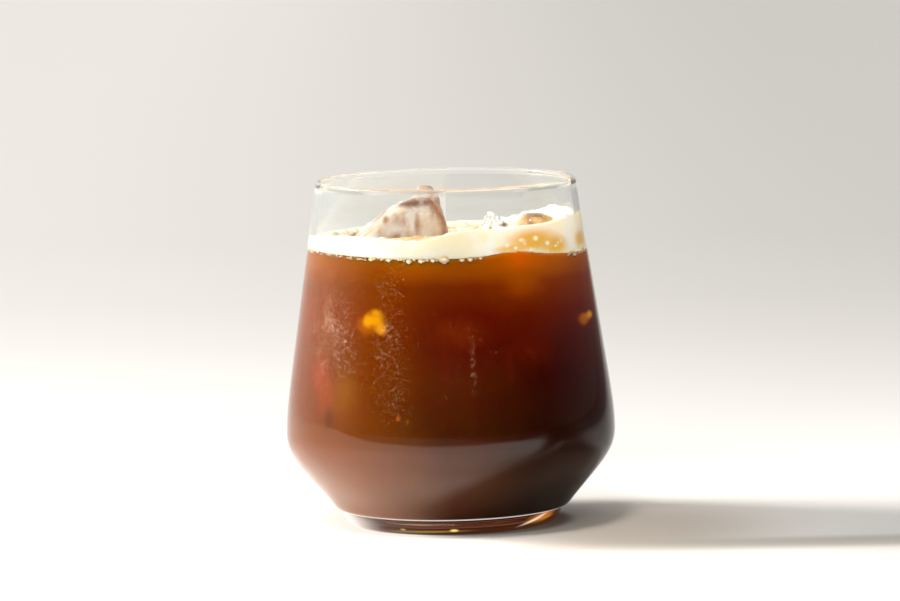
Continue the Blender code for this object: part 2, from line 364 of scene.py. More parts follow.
def grown(name, base_mesh, tree, settings):
    """The result of a geometry tree on base_mesh, as a plain mesh object with outward faces."""
    base = link_mesh(base_mesh, name + "_base")
    modifier = base.modifiers.new("tree", "NODES")
    modifier.node_group = tree
    for item in tree.interface.items_tree:
        if item.in_out == "INPUT" and item.name in settings:
            modifier[item.identifier] = settings[item.name]
    evaluated = base.evaluated_get(bpy.context.evaluated_depsgraph_get())
    mesh = bpy.data.meshes.new_from_object(evaluated)
    mesh.name = name
    bpy.data.objects.remove(base)
    shape = bmesh.new()
    shape.from_mesh(mesh)
    bmesh.ops.recalc_face_normals(shape, faces=shape.faces)
    shape.to_mesh(mesh)
    shape.free()
    mesh.shade_smooth()
    print(f"{name}: {len(mesh.vertices)} points, {len(mesh.polygons)} faces")
    return link_mesh(mesh, name)


def line_mesh(points):
    mesh = bpy.data.meshes.new("line")
    mesh.from_pydata(points, [(i, i + 1) for i in range(len(points) - 1)], [])
    return mesh


# %% [markdown]
# ## Clear glass
#
# Clear glass is a Principled shader with full transmission. Light that comes from a lamp has no easy way
# through a bent surface in a path tracer, and the drink would stay black. So rays that look for a lamp, and
# rays that leave a matt surface, meet a transparent shader in place of the glass. The camera still sees
# real refraction.

# %% The glass material
GLASS_TINT = (0.965, 0.985, 0.98)
CLEAREST_TINT = (0.98, 0.99, 0.985)
# Painted shade: the foot's glass is tinted dark brown for the drink seen through it and the shade below
FOOT_PAINTED_SHADE = (0.135, 0.038, 0.015)
NO_LIGHT = (0.0, 0.0, 0.0)
FOOT_TOP = 4.3 * MM
FOOT_EDGE = 0.5 * MM
# The heights between which the rim fades, and how much of it is left above them
RIM_FADES = (90.6 * MM, 91.4 * MM)
RIM_SEEN = 0.42
SMEAR_ROUGHNESS = 0.012
# Painted highlights and glows, drawn as emission where the rim and the foot gather light: bearing, half
# width, height, half height, rise for each degree and colour, in degrees and millimetres
GATHERED_LIGHTS = (
    (-90.0, 28.0, 90.6, 1.6, 0.0, (0.13, 0.13, 0.12)),
    (90.0, 20.0, 90.4, 1.6, 0.0, (0.07, 0.07, 0.06)),
    (0.0, 400.0, 1.0, 2.2, 0.0, (0.050, 0.015, 0.006)),
    (-80.0, 44.0, 2.0, 4.0, 0.0, (0.86, 0.77, 0.71)),
    (-20.0, 360.0, 4.45, 0.42, 0.0, (0.80, 0.74, 0.68)),
    (-14.0, 32.0, 1.15, 0.50, 0.008, (0.30, 0.170, 0.030)),
    (0.5, 3.2, 1.48, 0.55, 0.0, (1.0, 0.80, 0.20)),
    (-27.6, 2.4, 1.60, 0.42, 0.0, (0.45, 0.34, 0.12)),
    (55.0, 17.0, 3.0, 1.6, 0.045, (0.50, 0.160, 0.012)),
    (49.0, 15.0, 2.7, 0.55, 0.115, (0.85, 0.68, 0.52)),
)


def let_lamps_through(tree, shader):
    """Puts a transparent shader in the place of this one for shadow rays and diffuse rays."""
    path = put(tree, "ShaderNodeLightPath").outputs
    soft = maths(tree, "MAXIMUM", path["Is Shadow Ray"], path["Is Diffuse Ray"])
    clear = put(tree, "ShaderNodeBsdfTransparent").outputs["BSDF"]
    mixed = put(tree, "ShaderNodeMixShader", {0: soft, 1: shader.outputs["BSDF"], 2: clear}).outputs["Shader"]
    output = next(n for n in tree.nodes if n.type == "OUTPUT_MATERIAL")
    tree.links.new(mixed, output.inputs["Surface"])


def make_glass_material():
    made, tree, shader, place = new_material(
        "clear_glass", Transmission_Weight=1.0, IOR=1.5, Emission_Strength=1.0
    )
    smears = add_group(tree, MOTTLE, Vector=place, Scale=55.0, Low=0.45, High=0.75, Detail=4.0)
    tree.links.new(maths(tree, "MULTIPLY", smears, SMEAR_ROUGHNESS), shader.inputs["Roughness"])
    speckle = add_group(tree, MOTTLE, Vector=place, Scale=30.0, Low=0.3, High=0.7)
    tint = blend_colours(tree, speckle, GLASS_TINT, CLEAREST_TINT)
    height = parts_of(tree, place)["Z"]
    in_foot = smooth_range(tree, height, FOOT_TOP, FOOT_TOP - FOOT_EDGE)
    tree.links.new(blend_colours(tree, in_foot, tint, FOOT_PAINTED_SHADE), shader.inputs["Base Color"])
    tree.links.new(smooth_range(tree, height, *RIM_FADES, 1.0, RIM_SEEN), shader.inputs["Alpha"])
    # Painted highlights and glows on the rim and the foot, drawn as emission
    glow = NO_LIGHT
    for *sizes, colour in GATHERED_LIGHTS:
        glow = blend_colours(tree, marked(tree, place, *sizes), glow, colour)
    tree.links.new(glow, shader.inputs["Emission Color"])
    let_lamps_through(tree, shader)
    return made


CLEAR_GLASS = make_glass_material()

# %% Divide the long spans
MOST_GROWTH = 1.7


def graded(points):
    """points with more of them on long spans, so that no span is much longer than the one beside it."""
    points = [Vector(point) for point in points]
    index = 0
    while index < len(points) - 1:
        span = (points[index + 1] - points[index]).length
        before = (points[index] - points[index - 1]).length if index else span
        after = (points[index + 2] - points[index + 1]).length if index + 2 < len(points) else span
        if span > 1.5 * MOST_GROWTH * min(before, after):
            if before <= after:
                share = MOST_GROWTH * before / span
            else:
                share = 1.0 - MOST_GROWTH * after / span
            points.insert(index + 1, points[index].lerp(points[index + 1], share))
            index = max(0, index - 1)
        else:
            index += 1
    return points


# %% Turn the tumbler
tumbler = grown(
    "tumbler",
    line_mesh(graded((r, 0.0, z) for r, z in GLASS_OUTLINE)),
    LATHE,
    {"Steps round": 180, "Steps per span": 3, "Resting height": 0.0, "Material": CLEAR_GLASS},
)
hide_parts("glass")
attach(tumbler, BODY)

# %% [markdown]
# ## Filling the tumbler
#
# In the frame the drink and the foam keep a small gap to the wall, as separate solids must. Real drinks
# wet the glass, and through the wall such a gap would show as a silvery skin. So a copy of each is pushed
# out until it reaches just into the wall. The camera then sees one bend where the air meets the glass and
# none inside.

# %% Press the drink against the wall
turned_shape = bmesh.new()
turned_shape.from_mesh(tumbler.data)
TUMBLER_TREE = BVHTree.FromBMesh(turned_shape)
turned_shape.free()
WALL_GAP = 0.3 * MM
NEAR_WALL = 2.2 * WALL_GAP
DRINK_REACH = 0.12 * MM
FOAM_REACH = 0.16 * MM


def press_to_wall(shape, reach):
    """Moves every point that lies along the wall out until it is this far inside the glass."""
    moved = 0
    for point in shape.verts:
        _, normal, _, distance = TUMBLER_TREE.find_nearest(point.co)
        if distance < NEAR_WALL:
            point.co -= normal * (distance + reach)
            moved += 1
    return moved


def divided_copy(node, cuts):
    """A merged copy of a node whose faces are divided, so that it can follow the smooth wall."""
    shape = merged_copy(node)
    bmesh.ops.subdivide_edges(shape, edges=shape.edges, cuts=cuts, use_grid_fill=True)
    return shape


def finished(name, shape, look, sharp_angle=None):
    mesh = bpy.data.meshes.new(name)
    shape.to_mesh(mesh)
    shape.free()
    mesh.shade_smooth()
    if sharp_angle is not None:
        mesh.set_sharp_from_angle(angle=math.radians(sharp_angle))
    mesh.materials.append(look)
    return link_mesh(mesh, name)


# %% [markdown]
# ## Espresso
#
# Diluted espresso is amber where the light has a short way through it and dark red-brown where it is deep.
# Just under the foam it glows orange, lower down it goes to mahogany, and the side towards the sun is
# paler. This light and shade is painted into the colour: it follows the height, with one ramp for each side
# and one for the middle. Sunken ice shows as soft lighter or redder blots, of which two small red ones are
# painted glints, and two spots where the light is focused shine gold as a painted glow. Each is a *spot* at
# a bearing and a height on the wall.

# %% Espresso colours
# Painted light and shade: heights in millimetres, from the floor up, and colours
SUN_SIDE = (
    (6.0, (0.215, 0.085, 0.0300)),
    (16.0, (0.190, 0.060, 0.0120)),
    (30.0, (0.155, 0.038, 0.0030)),
    (42.5, (0.160, 0.031, 0.0008)),
    (50.5, (0.170, 0.034, 0.0004)),
    (58.5, (0.195, 0.036, 0.0002)),
    (66.5, (0.185, 0.040, 0.0002)),
    (75.0, (0.320, 0.085, 0.0010)),
)
MIDDLE = (
    (6.0, (0.040, 0.009, 0.0020)),
    (16.0, (0.070, 0.015, 0.0025)),
    (30.0, (0.067, 0.012, 0.0014)),
    (42.5, (0.105, 0.0143, 0.0013)),
    (50.5, (0.112, 0.0054, 0.0010)),
    (58.5, (0.134, 0.0055, 0.0002)),
    (66.5, (0.205, 0.023, 0.0002)),
    (75.0, (0.520, 0.130, 0.0006)),
)
FAR_SIDE = (
    (6.0, (0.012, 0.0035, 0.0010)),
    (16.0, (0.016, 0.0045, 0.0014)),
    (30.0, (0.026, 0.0050, 0.0014)),
    (42.5, (0.044, 0.0014, 0.0003)),
    (50.5, (0.074, 0.0030, 0.0005)),
    (58.5, (0.150, 0.0090, 0.0003)),
    (66.5, (0.280, 0.036, 0.0003)),
    (75.0, (0.640, 0.180, 0.0004)),
)
# Bearing from the front towards the right in degrees, height, half width, half height, strength and colour;
# the two small red entries at -19 and -15.5 degrees are painted glints, the rest are blots of sunken ice
SUNKEN_ICE_AND_GLINTS = (
    (-56.0, 43.0, 6.0, 9.0, 0.45, (0.36, 0.060, 0.010)),
    (-51.0, 37.0, 5.0, 8.0, 0.40, (0.34, 0.056, 0.010)),
    (-42.5, 39.0, 7.5, 10.0, 0.60, (0.24, 0.085, 0.002)),
    (-49.0, 31.5, 3.0, 6.0, 0.55, (0.075, 0.015, 0.003)),
    (-19.0, 33.0, 0.9, 1.2, 0.60, (0.50, 0.110, 0.010)),
    (-15.5, 32.2, 0.7, 0.9, 0.50, (0.46, 0.100, 0.010)),
    (-1.0, 46.0, 1.8, 9.0, 0.40, (0.165, 0.010, 0.002)),
    (23.0, 46.0, 1.9, 9.0, 0.40, (0.150, 0.009, 0.002)),
    (4.0, 55.0, 10.0, 6.5, 0.35, (0.30, 0.040, 0.001)),
    (32.0, 50.0, 10.0, 8.0, 0.50, (0.16, 0.010, 0.001)),
    (33.0, 67.0, 9.0, 5.5, 0.50, (0.46, 0.110, 0.001)),
    (120.0, 52.0, 10.0, 9.0, 0.55, (0.30, 0.035, 0.002)),
    (170.0, 45.0, 9.0, 12.0, 0.55, (0.34, 0.040, 0.002)),
    (-125.0, 50.0, 10.0, 9.0, 0.55, (0.42, 0.070, 0.004)),
)
# Painted glow where the light is focused: bearing, height, half width, half height and colour
GOLD_SPOTS = (
    (-33.0, 57.2, 4.6, 3.6, (0.34, 0.095, 0.002)),
    (-30.0, 58.2, 4.3, 2.5, (0.93, 0.42, 0.001)),
    (-29.8, 60.2, 2.4, 1.7, (0.88, 0.38, 0.001)),
    (-27.2, 56.2, 2.6, 2.4, (0.90, 0.40, 0.001)),
    (-33.0, 58.0, 2.2, 1.6, (0.96, 0.47, 0.001)),
    (66.0, 55.6, 5.2, 2.2, (0.30, 0.085, 0.002)),
    (71.0, 56.3, 3.4, 1.5, (0.62, 0.26, 0.002)),
)


# How far the colours sway up and sideways, and across which X each side takes over from the middle
SWAY_UP, SWAY_ASIDE = 7.0 * MM, 14.0 * MM
SUN_SIDE_FROM = (2.0 * MM, -28.0 * MM)
FAR_SIDE_FROM = (0.0, 26.0 * MM)


def spot_on_wall(tree, place, bearing, at, wide, tall, **edge):
    """The mask of a spot on the cavity's wall, from a bearing in degrees and lengths in millimetres."""
    turn, radius = math.radians(bearing), float(inner_radius(at * MM))
    centre = Vector((radius * math.sin(turn), -radius * math.cos(turn), at * MM))
    return add_group(tree, SPOT, Vector=place, Centre=centre, Radii=(wide * MM, wide * MM, tall * MM), **edge)


def colour_by_height(tree, height, stops):
    low, high = stops[0][0], stops[-1][0]
    wanted = {"Value": height, "From Min": low * MM, "From Max": high * MM}
    share = put(tree, "ShaderNodeMapRange", wanted).outputs["Result"]
    return colour_ramp(tree, share, [((at - low) / (high - low), colour) for at, colour in stops])


def swayed(tree, value, drift, sway):
    """value moved by up to half the sway either way."""
    return maths(tree, "ADD", value, maths(tree, "MULTIPLY", maths(tree, "SUBTRACT", drift, 0.5), sway))


def make_espresso_material():
    made, tree, shader, place = new_material(
        "espresso",
        Roughness=0.5,
        Specular_IOR_Level=0.0,
        Subsurface_Weight=1.0,
        Subsurface_Scale=16.0 * MM,
        Subsurface_Radius=(1.0, 0.22, 0.06),
        Emission_Strength=0.8,
    )
    drift = put(tree, "ShaderNodeTexNoise", {"Vector": place, "Scale": 45.0, "Detail": 2.0}).outputs["Fac"]
    at = parts_of(tree, place)
    height = swayed(tree, at["Z"], drift, SWAY_UP)
    across = swayed(tree, at["X"], drift, SWAY_ASIDE)
    colour = colour_by_height(tree, height, MIDDLE)
    for stops, limits in ((SUN_SIDE, SUN_SIDE_FROM), (FAR_SIDE, FAR_SIDE_FROM)):
        share = smooth_range(tree, across, *limits)
        colour = blend_colours(tree, share, colour, colour_by_height(tree, height, stops))
    for *sizes, strength, tint in SUNKEN_ICE_AND_GLINTS:
        mask = spot_on_wall(tree, place, *sizes, Softness=1.0, Wobble=0.35)
        colour = blend_colours(tree, maths(tree, "MULTIPLY", mask, strength), colour, tint)
    # Painted glow: the gold spots, drawn as emission
    glow = NO_LIGHT
    for *sizes, tint in GOLD_SPOTS:
        glow = blend_colours(tree, spot_on_wall(tree, place, *sizes, Softness=0.85, Wobble=0.9), glow, tint)
    tree.links.new(colour, shader.inputs["Base Color"])
    tree.links.new(glow, shader.inputs["Emission Color"])
    return made


# %% Fill in the espresso
drink_shape = divided_copy("espresso", 2)
wetted = press_to_wall(drink_shape, DRINK_REACH)
drink = finished("drink", drink_shape, make_espresso_material(), sharp_angle=50)
print(f"drink: {wetted} points pressed to the wall")
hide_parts("espresso")
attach(drink, BODY)

# %% [markdown]
# ## Foam
#
# The foam is a mass of bubbles too fine to see one by one, so it reads as cream with a grainy skin. Its
# solid is rebuilt as a close, even mesh, because only that can carry relief as fine as bubbles, and domes
# of many sizes are then raised on its open top. It is nearly white against most of the glass and orange tan
# at listed places on the wall. Its foot and its far side have a painted glow, and painted glints sit on the
# tan places.

# %% Foam material
FOAM_WHITE = (0.93, 0.90, 0.80)
FOAM_CREAM = (0.92, 0.83, 0.60)
FOAM_GLOW = (0.95, 0.70, 0.28)
CREMA_TAN = (0.78, 0.52, 0.24)
TAN_FOAM = (0.77, 0.45, 0.075)
# Distances from the axis between which crema shows on top, and between which the foam is seen on the wall
CREMA_WITHIN = (32.8 * MM, 28.0 * MM)
ON_WALL = (32.0 * MM, 34.0 * MM)
# Heights and X between which the foam's foot and its far side have a painted glow, and how much at either end
FOOT_GLOWS = (75.4 * MM, 73.4 * MM, 0.0, 0.45)
FAR_SIDE_GLOWS = (-4.0 * MM, 20.0 * MM, 0.0, 0.30)
CELLS_SCALE = 1300.0
CELL_DEPTH = 0.15 * MM
# Bearing, half width, height, half height and strength of the places where the foam on the wall turns tan
TAN_PLACES = (
    (39.0, 20.0, 77.9, 4.8, 1.0),
    (52.0, 13.0, 75.9, 3.9, 1.0),
    (27.0, 11.0, 76.0, 1.7, 0.8),
    (75.0, 10.0, 76.2, 3.4, 0.9),
    (140.0, 14.0, 77.0, 2.5, 0.8),
    (-150.0, 12.0, 76.0, 2.0, 0.7),
)
# Bearing, half width, height and half height of the painted glints, pale spots on the tan places
GLINTS = (
    (22.0, 2.4, 77.8, 1.2),
    (40.6, 2.0, 78.4, 1.0),
    (47.1, 1.9, 76.8, 0.9),
    (26.0, 1.7, 77.2, 0.8),
    (30.0, 1.4, 76.3, 0.6),
    (33.0, 1.3, 78.3, 0.6),
    (52.0, 1.4, 75.8, 0.5),
)


def make_foam_material():
    made, tree, shader, place = new_material(
        "foam",
        Specular_IOR_Level=0.15,
        Subsurface_Weight=0.6,
        Subsurface_Scale=4.0 * MM,
        Subsurface_Radius=(1.0, 0.75, 0.45),
        Emission_Strength=1.0,
    )
    at = parts_of(tree, place)
    from_axis = axis_distance(tree, at)
    clouds = add_group(tree, MOTTLE, Vector=place, Scale=120.0, Low=0.35, High=0.65)
    body = blend_colours(tree, clouds, FOAM_CREAM, FOAM_WHITE)
    inner = smooth_range(tree, from_axis, *CREMA_WITHIN)
    patchy = add_group(tree, MOTTLE, Vector=place, Scale=150.0, Low=0.3, High=0.6, Detail=5.0)
    body = blend_colours(tree, maths(tree, "MULTIPLY", inner, patchy), body, CREMA_TAN)
    # Painted glow: the foam's foot turns orange
    body = blend_colours(tree, smooth_range(tree, at["Z"], *FOOT_GLOWS), body, FOAM_GLOW)
    ragged = add_group(tree, MOTTLE, Vector=place, Scale=240.0, Low=0.28, High=0.46, Detail=4.0)
    outer = smooth_range(tree, from_axis, *ON_WALL)
    for *sizes, strength in TAN_PLACES:
        mask = maths(tree, "MULTIPLY", maths(tree, "MULTIPLY", marked(tree, place, *sizes), strength), ragged)
        body = blend_colours(tree, maths(tree, "MULTIPLY", mask, outer), body, TAN_FOAM)
    # Painted glints
    for sizes in GLINTS:
        mask = maths(tree, "MULTIPLY", marked(tree, place, *sizes), outer)
        body = blend_colours(tree, mask, body, FOAM_CREAM)
    tree.links.new(body, shader.inputs["Base Color"])
    # Painted glow on the foam's far side, drawn as emission
    far_side = smooth_range(tree, at["X"], *FAR_SIDE_GLOWS)
    tree.links.new(vectors(tree, "MULTIPLY", body, far_side), shader.inputs["Emission Color"])
    cells = put(tree, "ShaderNodeTexVoronoi", {"Vector": place, "Scale": CELLS_SCALE}).outputs["Distance"]
    tree.links.new(maths(tree, "MULTIPLY_ADD", cells, 0.25, 0.5), shader.inputs["Roughness"])
    bump = put(tree, "ShaderNodeBump", {"Height": cells, "Strength": 0.35, "Distance": CELL_DEPTH})
    tree.links.new(bump.outputs["Normal"], shader.inputs["Normal"])
    return made


# %% Foam relief
FOAM_VOXEL = 0.42 * MM
DOME_SEED = 11
# How many domes and their largest and smallest radius
DOME_SIZES = ((60, 1.5 * MM, 1.0 * MM), (500, 0.9 * MM, 0.5 * MM))
DOME_FLATTENING = 0.45
# How much a face looks up and how far it is from the wall, where a dome may stand and where it may reach
DOME_STANDS = (0.5, 0.6 * MM)
DOME_REACHES = (0.3, 0.5 * MM)


def remeshed(source, voxel):
    """source's mesh rebuilt in even faces of about one voxel, as a new mesh."""
    modifier = source.modifiers.new("even", "REMESH")
    modifier.mode = "VOXEL"
    modifier.voxel_size = voxel
    evaluated = source.evaluated_get(bpy.context.evaluated_depsgraph_get())
    return bpy.data.meshes.new_from_object(evaluated)


def raise_domes(mesh):
    """Raises low round domes on the faces that look up and stand clear of the wall."""
    draws = np.random.default_rng(DOME_SEED)
    places = np.array([v.co for v in mesh.vertices])
    upward = np.array([v.normal.z for v in mesh.vertices])
    from_wall = inner_radius(places[:, 2]) - np.hypot(places[:, 0], places[:, 1])
    tops = np.flatnonzero((upward > DOME_STANDS[0]) & (from_wall > DOME_STANDS[1]))
    domes = []
    for count, largest, smallest in DOME_SIZES:
        for index in draws.choice(tops, count, replace=False):
            domes.append((places[index], smallest + (largest - smallest) * draws.random()))
    tree = KDTree(len(domes))
    for index, (place, _) in enumerate(domes):
        tree.insert(place, index)
    tree.balance()
    for index in np.flatnonzero((upward > DOME_REACHES[0]) & (from_wall > DOME_REACHES[1])):
        near = tree.find_range(places[index], DOME_SIZES[0][1])
        heights = [math.sqrt(max(0.0, domes[which][1] ** 2 - away**2)) for _, which, away in near]
        mesh.vertices[index].co.z += DOME_FLATTENING * max(heights, default=0.0)


foam_shape = divided_copy("foam", 2)
press_to_wall(foam_shape, FOAM_REACH)
FOAM_LOOK = make_foam_material()
rough_foam = finished("rough_foam", foam_shape, FOAM_LOOK)
foam_mesh = remeshed(rough_foam, FOAM_VOXEL)
bpy.data.objects.remove(rough_foam)
foam_mesh.name = "foam_layer"
raise_domes(foam_mesh)
foam_mesh.shade_smooth()
foam_layer = link_mesh(foam_mesh, "foam_layer")
print(f"foam_layer: {len(foam_mesh.polygons)} faces")
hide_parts("foam")
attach(foam_layer, BODY)

# %% [markdown]
# ## Ice
#
# Ice in a drink has melted for a while: its edges are round, its faces are dished, and inside are white
# veils of trapped air. The coffee shows through it as brown streaks. The lumps are smoothed copies of the
# frame's solids with finer wear, and the small crystal in front is broken and sparkles. Each lump has its
# own finish, made by one function. The top of the tall lump fades behind the rim.

# %% Ice finishes
ICE_LUMPS = {"ice_tall": "tall_ice", "ice_peak": "peak_ice", "ice_low": "low_ice"}
AIR_WHITE = (0.99, 0.97, 0.94)
# Clearness, body colour, veil colour, streak colour, limits of the streaks' noise
ICE_FINISHES = {
    "tall_ice": (0.30, (0.93, 0.79, 0.62), AIR_WHITE, (0.44, 0.20, 0.085), (0.38, 0.74)),
    "peak_ice": (0.15, (1.00, 0.99, 0.97), AIR_WHITE, (0.45, 0.24, 0.13), (0.60, 0.66)),
    "low_ice": (0.30, (0.72, 0.45, 0.18), (0.86, 0.66, 0.36), (0.30, 0.120, 0.030), (0.40, 0.72)),
}
# Centre, radii and colour of the dark and bright places on each lump, in millimetres
ICE_PLACES = {
    "tall_ice": (
        ((-9.0, 6.0, 85.4), (9.5, 9.0, 1.6), (0.20, 0.075, 0.024)),
        ((-16.5, 3.0, 81.6), (1.5, 7.0, 1.6), (0.40, 0.20, 0.10)),
        ((-8.0, 2.0, 80.0), (1.2, 7.0, 4.0), (0.50, 0.27, 0.14)),
        ((-5.5, 12.5, 89.2), (4.5, 4.5, 2.2), (0.42, 0.125, 0.025)),
        ((-14.0, 1.5, 79.0), (3.5, 6.0, 2.4), (1.0, 0.97, 0.92)),
        ((-0.5, 4.0, 78.0), (1.6, 6.0, 2.6), (0.42, 0.20, 0.09)),
    ),
    "peak_ice": (
        ((14.6, -25.0, 82.0), (1.9, 4.0, 0.9), (0.17, 0.030, 0.008)),
        ((11.0, -25.5, 84.9), (0.7, 2.0, 0.35), (0.28, 0.10, 0.05)),
    ),
    "low_ice": (
        ((24.5, 4.5, 81.6), (4.6, 5.0, 0.9), (0.17, 0.055, 0.012)),
        # A painted glint: the white place on the low lump
        ((20.5, 4.0, 80.2), (0.9, 4.0, 0.8), (1.0, 0.98, 0.96)),
    ),
}
# Heights between which the ice fades and comes back at its tip, and how much shows at either end
ICE_FADES = (86.3 * MM, 87.4 * MM, 1.0, 0.14)
TIP_SHOWS = (88.3 * MM, 88.9 * MM, 0.0, 0.8)
VEIL_DEPTH = 0.4 * MM


def make_ice_material(name):
    clearness, body_colour, veil_colour, streak_colour, (low, high) = ICE_FINISHES[name]
    made, tree, shader, place = new_material(name, IOR=1.31, Transmission_Weight=clearness)
    veils = add_group(tree, MOTTLE, Vector=place, Scale=160.0, Low=0.4, High=0.62, Detail=5.0)
    wanted = {"Vector": place, "Rotation": (0.0, 0.35, 0.3), "Scale": (1.0, 0.6, 0.32)}
    stretched = put(tree, "ShaderNodeMapping", wanted).outputs["Vector"]
    streaks = add_group(tree, MOTTLE, Vector=stretched, Scale=260.0, Low=low, High=high, Detail=3.0)
    body = blend_colours(tree, veils, body_colour, veil_colour)
    body = blend_colours(tree, streaks, body, streak_colour)
    for centre, radii, colour in ICE_PLACES[name]:
        middle, reach = Vector(centre) * MM, Vector(radii) * MM
        mask = add_group(tree, SPOT, Vector=place, Centre=middle, Radii=reach, Softness=0.85, Wobble=1.1)
        body = blend_colours(tree, mask, body, colour)
    tree.links.new(body, shader.inputs["Base Color"])
    height = parts_of(tree, place)["Z"]
    low_part, tip = (smooth_range(tree, height, *limits) for limits in (ICE_FADES, TIP_SHOWS))
    tree.links.new(maths(tree, "MAXIMUM", low_part, tip), shader.inputs["Alpha"])
    tree.links.new(maths(tree, "MULTIPLY_ADD", veils, 0.3, 0.04), shader.inputs["Roughness"])
    bump = put(tree, "ShaderNodeBump", {"Height": veils, "Strength": 0.3, "Distance": VEIL_DEPTH})
    tree.links.new(bump.outputs["Normal"], shader.inputs["Normal"])
    let_lamps_through(tree, shader)
    return made


# %% Smooth and wear the lumps
# How far the wetted sides reach past the frame's gap to the foam
ICE_REACH = 0.35 * MM
# How deep the wear goes and how wide its dents are
ICE_WEAR = {
    "tall_ice": (0.35 * MM, 2.6 * MM),
    "peak_ice": (1.20 * MM, 1.9 * MM),
    "low_ice": (0.35 * MM, 2.2 * MM),
}
# How much of the wear is dents and how much is fine, and how much narrower the fine wear is
DENT_SHARE, FINE_SHARE, FINE_WIDTH = 0.6, 0.7, 0.5


def worn(shape, depth, width):
    """Cuts dents with sharp ridges between them into a shape, the way melting does."""
    shape.normal_update()
    normals = [v.normal.copy() for v in shape.verts]
    for v, normal in zip(shape.verts, normals):
        first, second = noise.voronoi(v.co / width)[0][:2]
        dent = 1.0 - min(1.0, second - first)
        fine = noise.turbulence(v.co / (width * FINE_WIDTH), 3, True)
        v.co -= normal * (depth * (DENT_SHARE * dent + FINE_SHARE * fine) - ICE_REACH)


for node, name in ICE_LUMPS.items():
    smooth_lump = finished("smooth_lump", merged_copy(node), CLEAR_GLASS)
    soften = smooth_lump.modifiers.new("soften", "SUBSURF")
    soften.levels = soften.render_levels = 2 if name == "peak_ice" else 1
    lump_shape = bmesh.new()
    lump_shape.from_object(smooth_lump, bpy.context.evaluated_depsgraph_get())
    bpy.data.objects.remove(smooth_lump)
    bmesh.ops.subdivide_edges(lump_shape, edges=lump_shape.edges, cuts=1, use_grid_fill=True)
    worn(lump_shape, *ICE_WEAR[name])
    lump = finished(name, lump_shape, make_ice_material(name), sharp_angle=30)
    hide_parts(node)
    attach(lump, BODY)
    print(f"{name}: {len(lump.data.polygons)} faces, stands for {node}")

# %% [markdown]
# ## Bubbles and beads of water
#
# Along the lower edge of the foam sits a chain of bubbles that press against the glass, a few large and
# many tiny. Their light and shade is painted: each is pale where it faces up to the light and dark along
# its lower side, and the large ones get a dark rim of painted shade behind them that shows below. On the
# outside the cold glass has drawn a mist of fine beads, dense at the left, and one drop has run down and
# left a track. All are flattened balls on a wall, so one tree in Geometry Nodes makes them: each point of a
# base mesh carries a size and the way it faces.

# %% Build the bead tree
def make_beads():
    tree, given, out = new_tree(
        "beads",
        "GeometryNodeTree",
        (
            ("Places", "Geometry"),
            ("Flatness", "Float", 0.3),
            ("Least thickness", "Float", 0.0),
            ("Subdivisions", "Int", 1),
            ("Material", "Material"),
        ),
        (("Geometry", "Geometry"),),
    )
    wanted = {"Name": "size"}
    size = put(tree, "GeometryNodeInputNamedAttribute", wanted, data_type="FLOAT").outputs["Attribute"]
    wanted = {"Name": "away"}
    away = put(tree, "GeometryNodeInputNamedAttribute", wanted, data_type="FLOAT_VECTOR").outputs["Attribute"]
    facing = put(tree, "FunctionNodeAlignRotationToVector", {"Vector": away}, axis="Z").outputs["Rotation"]
    bead = put(tree, "GeometryNodeMeshIcoSphere", {"Subdivisions": given["Subdivisions"]}).outputs["Mesh"]
    depth = maths(tree, "MULTIPLY_ADD", size, given["Flatness"], given["Least thickness"])
    scale = put(tree, "ShaderNodeCombineXYZ", {"X": size, "Y": size, "Z": depth}).outputs["Vector"]
    wanted = {"Points": given["Places"], "Instance": bead, "Rotation": facing, "Scale": scale}
    placed = put(tree, "GeometryNodeInstanceOnPoints", wanted).outputs["Instances"]
    placed = put(tree, "GeometryNodeRealizeInstances", {"Geometry": placed}).outputs["Geometry"]
    wanted = {"Geometry": placed, "Material": given["Material"]}
    tree.links.new(put(tree, "GeometryNodeSetMaterial", wanted).outputs["Geometry"], out["Geometry"])
    return tree


BEADS = make_beads()
print(f"beads: {len(BEADS.nodes)} nodes")


def places_mesh(places, wall_radius):
    """A mesh of loose points on a turned wall, from (bearing in degrees, height, size in metres)."""
    points, facing = [], []
    for bearing, height, _ in places:
        turn, radius = math.radians(bearing), float(wall_radius(height))
        facing.append((math.sin(turn), -math.cos(turn), 0.0))
        points.append((radius * facing[-1][0], radius * facing[-1][1], height))
    mesh = bpy.data.meshes.new("places")
    mesh.from_pydata(points, [], [])
    mesh.attributes.new("size", "FLOAT", "POINT").data.foreach_set("value", [size for *_, size in places])
    mesh.attributes.new("away", "FLOAT_VECTOR", "POINT").data.foreach_set("vector", np.ravel(facing))
    return mesh


# %% Where the drink meets the wall
def drink_edge():
    """The drink's highest points on the wall as (bearing in degrees, height), in order of bearing."""
    shape = merged_copy("espresso")
    highest = {}
    for v in shape.verts:
        if v.co.z > 0.5 * HEIGHT and math.hypot(v.co.x, v.co.y) > inner_radius(v.co.z) - 2.0 * WALL_GAP:
            bearing = round(math.degrees(math.atan2(v.co.x, -v.co.y)), 1)
            highest[bearing] = max(highest.get(bearing, 0.0), v.co.z)
    shape.free()
    return sorted(highest.items())


DRINK_EDGE = drink_edge()
print(f"the drink's edge: {len(DRINK_EDGE)} points")


def edge_height(bearing):
    return float(np.interp(bearing, *zip(*DRINK_EDGE), period=360.0))


# %% Bubbles
BUBBLE_SEED = 5
